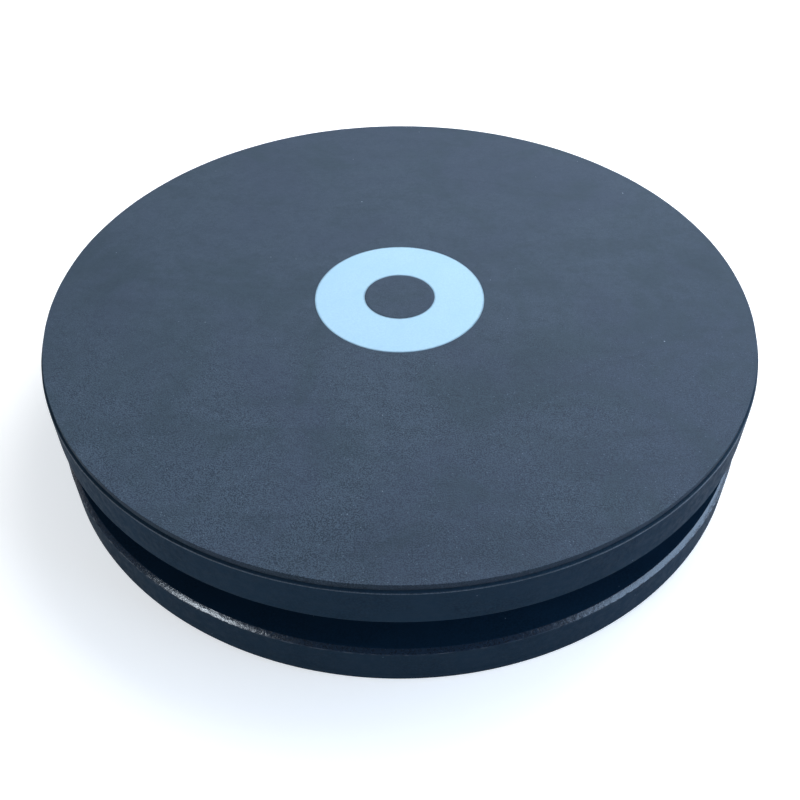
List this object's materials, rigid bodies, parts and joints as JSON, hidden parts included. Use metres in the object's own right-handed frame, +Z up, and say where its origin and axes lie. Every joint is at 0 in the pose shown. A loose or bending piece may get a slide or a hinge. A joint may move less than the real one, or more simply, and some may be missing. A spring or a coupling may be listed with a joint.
{
  "type": "balance pad",
  "caption": "Round balance pad for physiotherapy: a padded platform disc tilts in every direction over a flat base disc, on a universal joint with rubber springs and stops.",
  "frame": {"origin": "on the floor, under the centre of the pad, level with the bottom of the rubber feet", "axes": "+Z up through the centre of both discs, -Y to the front of the pad, +X to its right-hand side"},
  "size_m": [0.4, 0.4, 0.0762],
  "materials": {
    "black_painted_board": "blue-black paint on fibreboard, satin with a rough worn edge",
    "slate_blue_mat": "matt, fine-grained non-slip",
    "pale_blue_print": "matt",
    "black_rubber": "matt moulded",
    "zinc_plated_steel": "bright zinc",
    "black_coated_steel": "black powder coat, satin",
    "sintered_bronze": "dull sintered metal"
  },
  "bodies": {
    "base": {"base_plate": "black_painted_board", "lower_yoke": "black_coated_steel", "lower_bush_right": "sintered_bronze", "lower_bush_left": "sintered_bronze", "rubber_foot_1": "black_rubber", "rubber_foot_2": "black_rubber", "rubber_foot_3": "black_rubber", "rubber_foot_4": "black_rubber", "rubber_foot_5": "black_rubber", "rubber_foot_6": "black_rubber", "lower_yoke_bolt_back_right": "zinc_plated_steel", "lower_yoke_bolt_back_left": "zinc_plated_steel", "lower_yoke_bolt_front_left": "zinc_plated_steel", "lower_yoke_bolt_front_right": "zinc_plated_steel", "rubber_spring_right": "black_rubber", "rubber_spring_back": "black_rubber", "rubber_spring_left": "black_rubber", "rubber_spring_front": "black_rubber", "spring_lower_plate_right": "zinc_plated_steel", "spring_lower_plate_back": "zinc_plated_steel", "spring_lower_plate_left": "zinc_plated_steel", "spring_lower_plate_front": "zinc_plated_steel", "spring_nut_right": "zinc_plated_steel", "spring_nut_back": "zinc_plated_steel", "spring_nut_left": "zinc_plated_steel", "spring_nut_front": "zinc_plated_steel", "rubber_stop_right": "black_rubber", "rubber_stop_back": "black_rubber", "rubber_stop_left": "black_rubber", "rubber_stop_front": "black_rubber", "stop_screw_right": "zinc_plated_steel", "stop_screw_back": "zinc_plated_steel", "stop_screw_left": "zinc_plated_steel", "stop_screw_front": "zinc_plated_steel"},
    "cross": {"cross_block": "black_coated_steel", "pivot_screw_right": "zinc_plated_steel", "pivot_screw_back": "zinc_plated_steel", "pivot_screw_left": "zinc_plated_steel", "pivot_screw_front": "zinc_plated_steel"},
    "platform": {"top_plate": "black_painted_board", "top_mat": "slate_blue_mat", "centre_mark": "pale_blue_print", "upper_yoke": "black_coated_steel", "upper_bush_front": "sintered_bronze", "upper_bush_back": "sintered_bronze", "upper_yoke_bolt_back_right": "zinc_plated_steel", "upper_yoke_bolt_back_left": "zinc_plated_steel", "upper_yoke_bolt_front_left": "zinc_plated_steel", "upper_yoke_bolt_front_right": "zinc_plated_steel", "threaded_insert_back_right": "sintered_bronze", "threaded_insert_back_left": "sintered_bronze", "threaded_insert_front_left": "sintered_bronze", "threaded_insert_front_right": "sintered_bronze", "spring_upper_plate_right": "zinc_plated_steel", "spring_upper_plate_back": "zinc_plated_steel", "spring_upper_plate_left": "zinc_plated_steel", "spring_upper_plate_front": "zinc_plated_steel"}
  },
  "joints": [
    {"name": "tilt_front_back", "type": "hinge", "parent": "base", "child": "cross", "pos_m": [0, 0, 0.0373], "axis": [1, 0, 0], "range_deg": [-4.5, 4.5], "stiffness_Nm_per_rad": 420, "deforming": ["rubber_spring_front", "rubber_spring_back"]},
    {"name": "tilt_left_right", "type": "hinge", "parent": "cross", "child": "platform", "pos_m": [0, 0, 0.0373], "axis": [0, 1, 0], "range_deg": [-4.5, 4.5], "stiffness_Nm_per_rad": 420, "deforming": ["rubber_spring_left", "rubber_spring_right"]}
  ]
}
